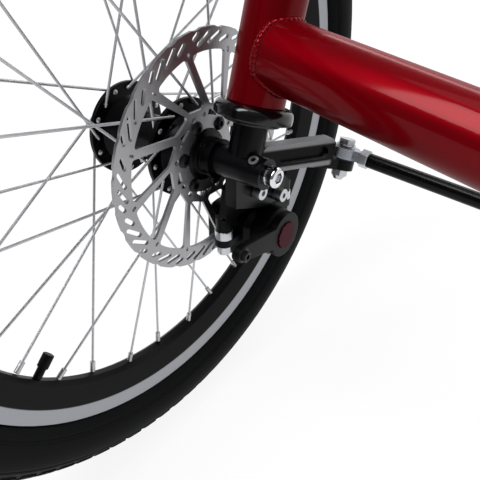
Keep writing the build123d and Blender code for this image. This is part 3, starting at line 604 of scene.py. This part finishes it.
class CORNER_OT_tyre(bpy.types.Operator):
    """Tyre casing with a round section and the blocks of a road tread"""
    bl_idname = "corner.tyre"
    bl_label = "Tyre"

    def execute(self, context):
        sizes = context.scene.corner_sizes
        turns = [360 * k / CASING_STEPS for k in range(CASING_STEPS)]
        section = casing_section(sizes.tread_depth)
        casing = Skin()
        casing.rows(
            [[wheel_point(along, radius, turn) for turn in turns] for along, radius in section],
            round_all=True)
        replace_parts(casing.piece("tyre_casing", "wheel", "rubber", "rubber"), "tyre")
        tread = Skin()
        pitch = 360 / sizes.tread_pitches
        for lean, half_width, half_length, start, skew in TREAD_ROWS:
            for side in (-1, 1):
                stagger = 0.5 if side > 0 else 0
                for index in range(sizes.tread_pitches):
                    middle = (index + start + stagger) * pitch
                    tread_block(tread, side, lean, half_width, middle, half_length * pitch, skew * pitch,
                                sizes.tread_depth)
        tread.piece("tyre_tread", "wheel", "rubber", "rubber")
        return {"FINISHED"}


def casing_place(lean, height):
    """Place along the axle and radius of a tyre point, from its lean in degrees and height over the core."""
    turn = math.radians(lean)
    return height * math.sin(turn), TYRE_CORE + height * math.cos(turn)


def casing_section(tread_depth):
    """The casing's closed section, as places along the axle and radii."""
    seat = RIM_RADIUS + TYRE_SEAT
    end = math.degrees(math.acos((seat - TYRE_CORE) / TYRE_HALF))
    section = []
    for k in range(SECTION_STEPS + 1):
        lean = end * (1 - 2 * k / SECTION_STEPS)
        rise = min(1.0, max(0.0, (abs(lean) - SHOULDER_LEAN) / SHOULDER_SPREAD))
        height = TYRE_HALF - tread_depth * (1 - rise * rise * (3 - 2 * rise))
        if any(abs(abs(lean) - line) < SIDE_LINE_HALF for line in SIDE_LINES):
            height -= SIDE_LINE_DEPTH
        section.append(casing_place(lean, height))
    bead = (TYRE_BEAD_HALF, seat - TYRE_LIP)
    toe = (TYRE_TOE_HALF, RIM_RADIUS - TYRE_TOE)
    section += [(-along, radius) for along, radius in (bead, toe)]
    return section + [toe, bead]


def tread_block(skin, side, lean, half_width, middle, half_length, skew, depth):
    """One block: a top that follows the casing, with drafted walls down into it."""
    base = len(skin.points)
    for scale, height in ((TREAD_DRAFT, TYRE_HALF), (1.0, TYRE_HALF - depth - TREAD_ROOT)):
        for row in (-1, 0, 1):
            for column in (-1, 0, 1):
                turn = middle + (column * half_length + row * skew * side) * scale
                place = casing_place(side * (lean + row * half_width * scale), height)
                skin.points.append(wheel_point(*place, turn))
    for row in (0, 1):
        for column in (0, 1):
            corner = base + row * 3 + column
            skin.faces.append([corner, corner + 1, corner + 4, corner + 3])
    # The rim of a grid of three by three points, with its lower copy nine points on
    edge = [0, 1, 2, 5, 8, 7, 6, 3]
    for here, ahead in zip(edge, edge[1:] + edge[:1]):
        skin.faces.append([base + here, base + here + 9, base + ahead + 9, base + ahead])


WELD_STEPS = 6
WELD_SIDES = 12
# Radius of the bead between two ripples, as a share of the whole
WELD_VALLEY = 0.72
WELD_SINK = 0.8 * MM


class CORNER_OT_weld(bpy.types.Operator):
    """Rippled weld bead where the boom meets the head tube"""
    bl_idname = "corner.weld"
    bl_label = "Weld"

    def execute(self, context):
        sizes = context.scene.corner_sizes
        count = sizes.bead_ripples * WELD_STEPS
        rows = []
        for station in range(count):
            out, middle = weld_place(math.tau * station / count)
            ripple = math.sqrt(math.sin(math.pi * (station % WELD_STEPS + 0.5) / WELD_STEPS))
            radius = sizes.bead_radius * (WELD_VALLEY + (1 - WELD_VALLEY) * ripple)
            rows.append(circle(middle, out, BOOM_AXIS, radius, WELD_SIDES))
        bead = Skin()
        bead.rows(rows, round_all=True)
        bead.piece("boom_weld", "frame", "red_paint", "candy")
        return {"FINISHED"}


def weld_place(turn):
    """Direction out of the boom at a turn round it, and the bead's middle where the boom ends there."""
    up = across(KINGPIN_AXIS, BOOM_AXIS)
    out = up * math.cos(turn) + BOOM_AXIS.cross(up) * math.sin(turn)
    # Where a line along the boom's surface meets the head tube: the roots of a quadratic
    along = BOOM_AXIS - KINGPIN_AXIS * BOOM_AXIS.dot(KINGPIN_AXIS)
    wide = (out - KINGPIN_AXIS * out.dot(KINGPIN_AXIS)) * BOOM_RADIUS
    a, b, c = along.dot(along), 2 * along.dot(wide), wide.dot(wide) - HEAD_RADIUS ** 2
    root = b * b - 4 * a * c
    short = -BOOM_END_SHORT
    if root > 0:
        short = min(short, (-b - math.sqrt(root)) / (2 * a))
    return out, BOOM_AXIS * (BOOM_LENGTH + short) + out * (BOOM_RADIUS - WELD_SINK)


# Turned ends as (radius, height) in millimetres: a spoke's elbow from its bend and its head from the flange,
# and heads of screws, a washer and a socket from the face they sit on
SPOKE_ELBOW = ((0.3, -1.1), (0.85, -0.7), (1.1, 0), (1.0, 0.6))
SPOKE_HEAD = ((1.0, 0), (1.9, 0.05), (1.9, 0.4), (1.3, 0.9), (0.3, 1.1))
BUTTON_HEAD = ((4.6, 0), (4.6, 0.6), (3.7, 1.7), (2.1, 2.1), (1.9, 2.1), (1.9, 0.9), (0.2, 0.9))
CAP_HEAD = ((4.2, 0), (4.2, 3.6), (3.8, 4.0), (2.4, 4.0), (2.3, 1.8), (0.2, 1.8))
SET_SCREW = ((3.3, -0.6), (3.3, 0.5), (2.9, 0.9), (1.7, 0.9), (1.6, -0.2), (0.2, -0.2))
ANCHOR_WASHER = ((5.2, 0), (5.2, 0.9), (4.9, 1.1), (0.2, 1.1))
ANCHOR_HEAD = ((4.2, 1.0), (4.2, 3.6), (3.6, 4.2), (1.9, 4.2), (1.8, 3.0), (0.2, 3.0))
SOCKET_FACE = ((2.1, -0.05), (2.1, 0.06), (0.2, 0.06))
SPOKE_SIDES = 12
ROUND_SIDES = 24
HEX_SIDES = 6


def raised(profile, height=0.0):
    """A profile in metres, raised by a height."""
    return [(radius * MM, height + step * MM) for radius, step in profile]


class CORNER_OT_spoke_ends(bpy.types.Operator):
    """Heads and elbows of the spokes at the hub flanges"""
    bl_idname = "corner.spoke_ends"
    bl_label = "Spoke ends"

    def execute(self, context):
        ends = Skin()
        for index in range(SPOKES):
            near = index % 2 == 0
            lead = 1 if (index // 2) % 2 == 0 else -1
            turn = SPOKE_PHASE + index * 360 / SPOKES + lead * SPOKE_LEAD
            side = -lead if near else lead
            flange = FLANGES[0] if near else FLANGES[1]
            bend = flange + side * (SPOKE_STEPS[0] if lead > 0 else SPOKE_STEPS[1])
            reach = abs(bend - flange) + FLANGE_HALF
            ends.turned(
                wheel_point(bend, SPOKE_HOLE_RADIUS, turn), Vector((-side, 0, 0)),
                raised(SPOKE_ELBOW) + raised(SPOKE_HEAD, reach), SPOKE_SIDES)
        ends.piece("spoke_ends", "wheel", "stainless", "wire")
        return {"FINISHED"}


def kingpin_point(side, back, height):
    """Point of the steering head, up the kingpin from axle level."""
    return KINGPIN_FOOT + KINGPIN_SIDE * side + KINGPIN_BACK * back + KINGPIN_AXIS * height


def caliper_point(forward, up, along):
    """Point of the caliper, forwards and up from its centre, along the axle from the wheel's centre plane."""
    return WHEEL_CENTRE + Vector((along, CALIPER_SPOT[0] + forward, CALIPER_SPOT[1] + up))


class CORNER_OT_fasteners(bpy.types.Operator):
    """Screws of the rotor, knuckle, collar, cap, lever and caliper"""
    bl_idname = "corner.fasteners"
    bl_label = "Fasteners"

    def execute(self, context):
        rotor = Skin()
        for index in range(ROTOR_BOLTS):
            turn = ROTOR_PHASE + index * 360 / ROTOR_BOLTS
            place = wheel_point(ROTOR_FACE, ROTOR_BOLT_RADIUS, turn)
            rotor.turned(place, INBOARD, raised(BUTTON_HEAD), ROUND_SIDES)
        rotor.piece("rotor_screws", "wheel", "stainless", "oxide")

        screw = Skin()
        out = Vector((0, math.sin(KNUCKLE_SCREW_LEAN), math.cos(KNUCKLE_SCREW_LEAN)))
        place = WHEEL_CENTRE + Vector((KNUCKLE_SCREW_ALONG, 0, 0)) + out * KNUCKLE_SCREW_OUT
        screw.turned(place, out, raised(SET_SCREW), ROUND_SIDES)
        screw.piece("knuckle_set_screw", "knuckle", "stainless", "zinc")

        collar = Skin()
        place = kingpin_point(COLLAR_SCREW_SIDE, COLLAR_SCREW_BACK, COLLAR_HEIGHT)
        collar.turned(place, KINGPIN_BACK, raised(CAP_HEAD), ROUND_SIDES)
        collar.turned(kingpin_point(0, 0, CAP_HEIGHT), KINGPIN_AXIS, raised(BUTTON_HEAD), ROUND_SIDES)
        collar.piece("collar_screws", "knuckle", "stainless", "oxide")

        anchor = Skin()
        forward = LEVER_PIVOT[0] + LEVER_REACH * math.cos(LEVER_RISE)
        up = LEVER_PIVOT[1] + LEVER_REACH * math.sin(LEVER_RISE)
        place = caliper_point(forward, up, LEVER_FACE)
        anchor.turned(place, INBOARD, raised(ANCHOR_WASHER), ROUND_SIDES)
        anchor.turned(place, INBOARD, raised(ANCHOR_HEAD), HEX_SIDES)
        anchor.piece("lever_anchor", "knuckle", "stainless", "oxide")

        sockets = Skin()
        for spots, along, way in (
                (CALIPER_BOLTS, CALIPER_BOLT_ALONG, DOWN), (BRACKET_BOLTS, BRACKET_BOLT_FACE, INBOARD)):
            for forward, up in spots:
                sockets.turned(caliper_point(forward, up, along), way, raised(SOCKET_FACE), HEX_SIDES)
        sockets.piece("bolt_sockets", "knuckle", "black_alloy", "oxide")
        return {"FINISHED"}


FLOOR_SIZE = 60
FLOOR_CELLS = 8
# What the floor shows by itself near the object, and the distances where it starts to turn white and is white
FLOOR_GLOW = 0.9
FLOOR_NEAR = 0.6
FLOOR_FAR = 2.5
# Softboxes: name, place in metres, point aimed at, length and width in metres, power in watts
SOFTBOXES = (
    ("key_softbox", (0.51, 0.71, 1.29), (0.17, -0.02, 0.02), 0.5, 1.2, 19),
    ("top_softbox", (0.05, -0.3, 1.6), (0.25, 0, 0), 1.0, 1.0, 4),
    ("rear_strip", (0.2, -1.3, 0.9), (0.25, 0, 0), 1.4, 0.3, 6),
)
# Strengths of the world: the even light, and what shiny pieces see in front of and above a white backdrop
AMBIENT = 0.1
ROOM = 0.15
CEILING = 0.25
# Shares of a direction forwards, and up, over which the backdrop gives way to the room and to the ceiling
ROOM_EDGE = (-0.2, 0.25)
CEILING_EDGE = (0.35, 0.7)
SENSOR_WIDTH = 36
NEAR_CLIP = 0.01


class CORNER_OT_stage(bpy.types.Operator):
    """Pale floor, soft light and the picture's camera"""
    bl_idname = "corner.stage"
    bl_label = "Stage"

    def execute(self, context):
        scene = context.scene
        build_floor(scene)
        build_lights(scene)
        build_world(scene)
        build_camera(scene)
        scene.view_settings.view_transform = "Standard"
        return {"FINISHED"}


def seen_directly(tree):
    """1 for rays that the camera, a mirror or glass sends, 0 for the rest."""
    path = add(tree, "ShaderNodeLightPath")
    total = path.outputs["Is Camera Ray"]
    for ray in ("Is Glossy Ray", "Is Transmission Ray"):
        total = add(tree, "ShaderNodeMath", {0: total, 1: path.outputs[ray]}, operation="MAXIMUM").outputs[0]
    return total


def build_floor(scene):
    """Floor that shows nearly white where it is looked at, and keeps the object's shadow."""
    bpy.ops.mesh.primitive_grid_add(
        x_subdivisions=FLOOR_CELLS, y_subdivisions=FLOOR_CELLS, size=FLOOR_SIZE,
        location=(0, 0, FLOOR_HEIGHT))
    floor = bpy.context.object
    floor.name = "floor"
    material, tree, shader = blank("pale_painted_floor", Roughness=0.9, Specular_IOR_Level=0.1)
    shader.inputs["Base Color"].default_value = rgba(scene.corner_colours.floor)
    shader.inputs["Emission Color"].default_value = (1, 1, 1, 1)
    place = add(tree, "ShaderNodeTexCoord").outputs["Object"]
    reach = add(tree, "ShaderNodeVectorMath", {0: place}, operation="LENGTH").outputs["Value"]
    level = add(tree, "ShaderNodeMapRange", {
        "Value": reach, "From Min": FLOOR_NEAR, "From Max": FLOOR_FAR, "To Min": FLOOR_GLOW, "To Max": 1.0})
    glow = add(
        tree, "ShaderNodeMath", {0: seen_directly(tree), 1: level.outputs["Result"]}, operation="MULTIPLY")
    tree.links.new(glow.outputs[0], shader.inputs["Emission Strength"])
    floor.data.materials.append(material)


def build_lights(scene):
    """The softboxes, each turned to the point it is aimed at."""
    for name, place, aim, length, width, power in SOFTBOXES:
        light = bpy.data.lights.new(name, "AREA")
        light.shape = "RECTANGLE"
        light.size = length
        light.size_y = width
        light.energy = power
        lamp = bpy.data.objects.new(name, light)
        lamp.location = place
        lamp.rotation_euler = (Vector(aim) - Vector(place)).to_track_quat("-Z", "Y").to_euler()
        scene.collection.objects.link(lamp)


def build_world(scene):
    """White backdrop behind the object in a dim room, and a low even light."""
    world = bpy.data.worlds.new("white_studio")
    world.use_nodes = True
    tree = world.node_tree
    background = tree.nodes["Background"]
    way = add(tree, "ShaderNodeSeparateXYZ", {0: add(tree, "ShaderNodeTexCoord").outputs["Generated"]})
    backdrop = add(tree, "ShaderNodeMapRange", {
        "Value": way.outputs["Y"], "From Min": ROOM_EDGE[0], "From Max": ROOM_EDGE[1],
        "To Min": 1.0, "To Max": ROOM})
    walls = add(tree, "ShaderNodeMapRange", {
        "Value": way.outputs["Z"], "From Min": CEILING_EDGE[0], "From Max": CEILING_EDGE[1],
        "To Min": backdrop.outputs["Result"], "To Max": CEILING})
    mirrored = add(tree, "ShaderNodeMapRange", {
        "Value": seen_directly(tree), "To Min": AMBIENT, "To Max": walls.outputs["Result"]})
    level = add(tree, "ShaderNodeMapRange", {
        "Value": add(tree, "ShaderNodeLightPath").outputs["Is Camera Ray"],
        "To Min": mirrored.outputs["Result"], "To Max": 1.0})
    tree.links.new(level.outputs["Result"], background.inputs["Strength"])
    background.inputs["Color"].default_value = (1, 1, 1, 1)
    scene.world = world


def build_camera(scene):
    """The picture's camera, from its place, heading, tilt, roll and lens."""
    sizes = scene.corner_sizes
    heading, tilt = sizes.camera_heading, sizes.camera_tilt
    forward = Vector((
        math.cos(tilt) * math.cos(heading), -math.cos(tilt) * math.sin(heading), -math.sin(tilt)))
    lens = bpy.data.cameras.new("picture")
    lens.sensor_width = SENSOR_WIDTH
    lens.lens = sizes.camera_lens
    lens.clip_start = NEAR_CLIP
    camera = bpy.data.objects.new("picture", lens)
    turn = forward.to_track_quat("-Z", "Y").to_matrix() @ Matrix.Rotation(sizes.camera_roll, 3, "Z")
    camera.matrix_world = Matrix.Translation(sizes.camera_place) @ turn.to_4x4()
    scene.collection.objects.link(camera)
    scene.camera = camera


class CORNER_PT_panel(bpy.types.Panel):
    """Sidebar panel with the corner's operators and values"""
    bl_label = "Trike corner"
    bl_space_type = "VIEW_3D"
    bl_region_type = "UI"
    bl_category = "Trike corner"

    def draw(self, context):
        for operator in OPERATORS:
            self.layout.operator(operator.bl_idname)
        for group in (context.scene.corner_colours, context.scene.corner_sizes):
            for name in group.__annotations__:
                self.layout.prop(group, name)


OPERATORS = (CORNER_OT_finishes, CORNER_OT_tyre, CORNER_OT_weld, CORNER_OT_spoke_ends, CORNER_OT_fasteners,
             CORNER_OT_stage)
CLASSES = (CornerColours, CornerSizes, *OPERATORS, CORNER_PT_panel)


def register():
    """Add the classes and their values to Blender."""
    for cls in CLASSES:
        bpy.utils.register_class(cls)
    bpy.types.Scene.corner_colours = PointerProperty(type=CornerColours)
    bpy.types.Scene.corner_sizes = PointerProperty(type=CornerSizes)


def unregister():
    """Take the values and classes out again."""
    del bpy.types.Scene.corner_sizes
    del bpy.types.Scene.corner_colours
    for cls in reversed(CLASSES):
        bpy.utils.unregister_class(cls)


def main():
    """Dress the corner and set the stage."""
    register()
    bpy.ops.corner.finishes()
    bpy.ops.corner.tyre()
    bpy.ops.corner.weld()
    bpy.ops.corner.spoke_ends()
    bpy.ops.corner.fasteners()
    bpy.ops.corner.stage()


if __name__ == "__main__":
    main()
